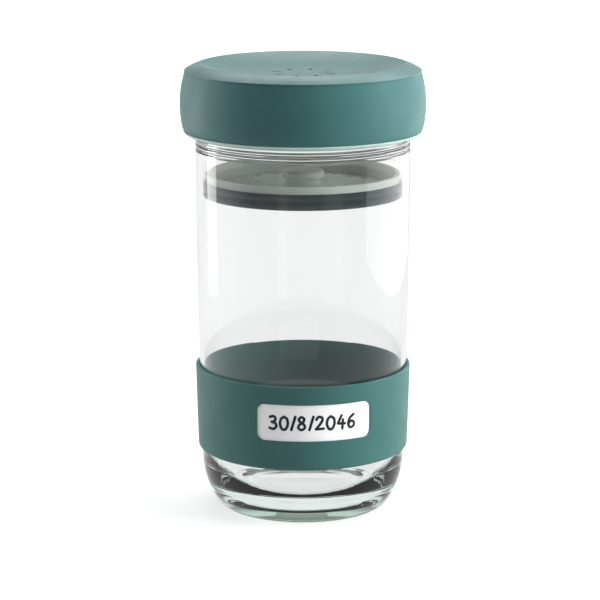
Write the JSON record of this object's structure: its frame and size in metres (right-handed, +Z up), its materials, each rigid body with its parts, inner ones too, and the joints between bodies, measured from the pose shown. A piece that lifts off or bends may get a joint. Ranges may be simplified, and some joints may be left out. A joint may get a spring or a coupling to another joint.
{
  "type": "fermentation jar",
  "caption": "Tall glass fermentation jar with a vented press-on silicone lid, a sliding press disc inside and a turning date band round the body.",
  "frame": {"origin": "centre of the foot ring, on the surface that the jar stands on", "axes": "+Z up along the jar's axis; the date label faces -Y"},
  "size_m": [0.11, 0.11, 0.2022],
  "materials": {
    "clear_glass": "clear, polished",
    "lid_silicone": "matte grey-green silicone",
    "band_silicone": "matte grey-green silicone",
    "seal_silicone": "dark grey-green silicone",
    "clear_silicone": "translucent silicone",
    "frosted_plastic": "frosted translucent polypropylene",
    "label_plastic": "smooth white writing surface"
  },
  "bodies": {
    "jar": {"glass_jar": "clear_glass"},
    "lid": {"valve_plate": "frosted_plastic", "grip_sleeve": "frosted_plastic", "lid_gasket": "clear_silicone", "lid_skirt": "lid_silicone", "lid_membrane": "lid_silicone"},
    "valve": {"valve_flap": "clear_silicone"},
    "press": {"press_disc": "frosted_plastic", "press_seal": "seal_silicone", "press_knob": "frosted_plastic"},
    "band": {"date_band": "band_silicone", "date_label": "label_plastic"}
  },
  "joints": [
    {"name": "lid_lift", "type": "slide", "parent": "jar", "child": "lid", "axis": [0, 0, 1], "range_m": [0, 0.12]},
    {"name": "valve_lift", "type": "slide", "parent": "lid", "child": "valve", "axis": [0, 0, 1], "range_m": [0, 0.0012], "stiffness_N_per_m": 40},
    {"name": "press_slide", "type": "slide", "parent": "jar", "child": "press", "axis": [0, 0, 1], "range_m": [-0.056, 0.03]},
    {"name": "band_turn", "type": "hinge", "parent": "jar", "child": "band", "pos_m": [0, 0, 0], "axis": [0, 0, 1], "continuous": true}
  ]
}
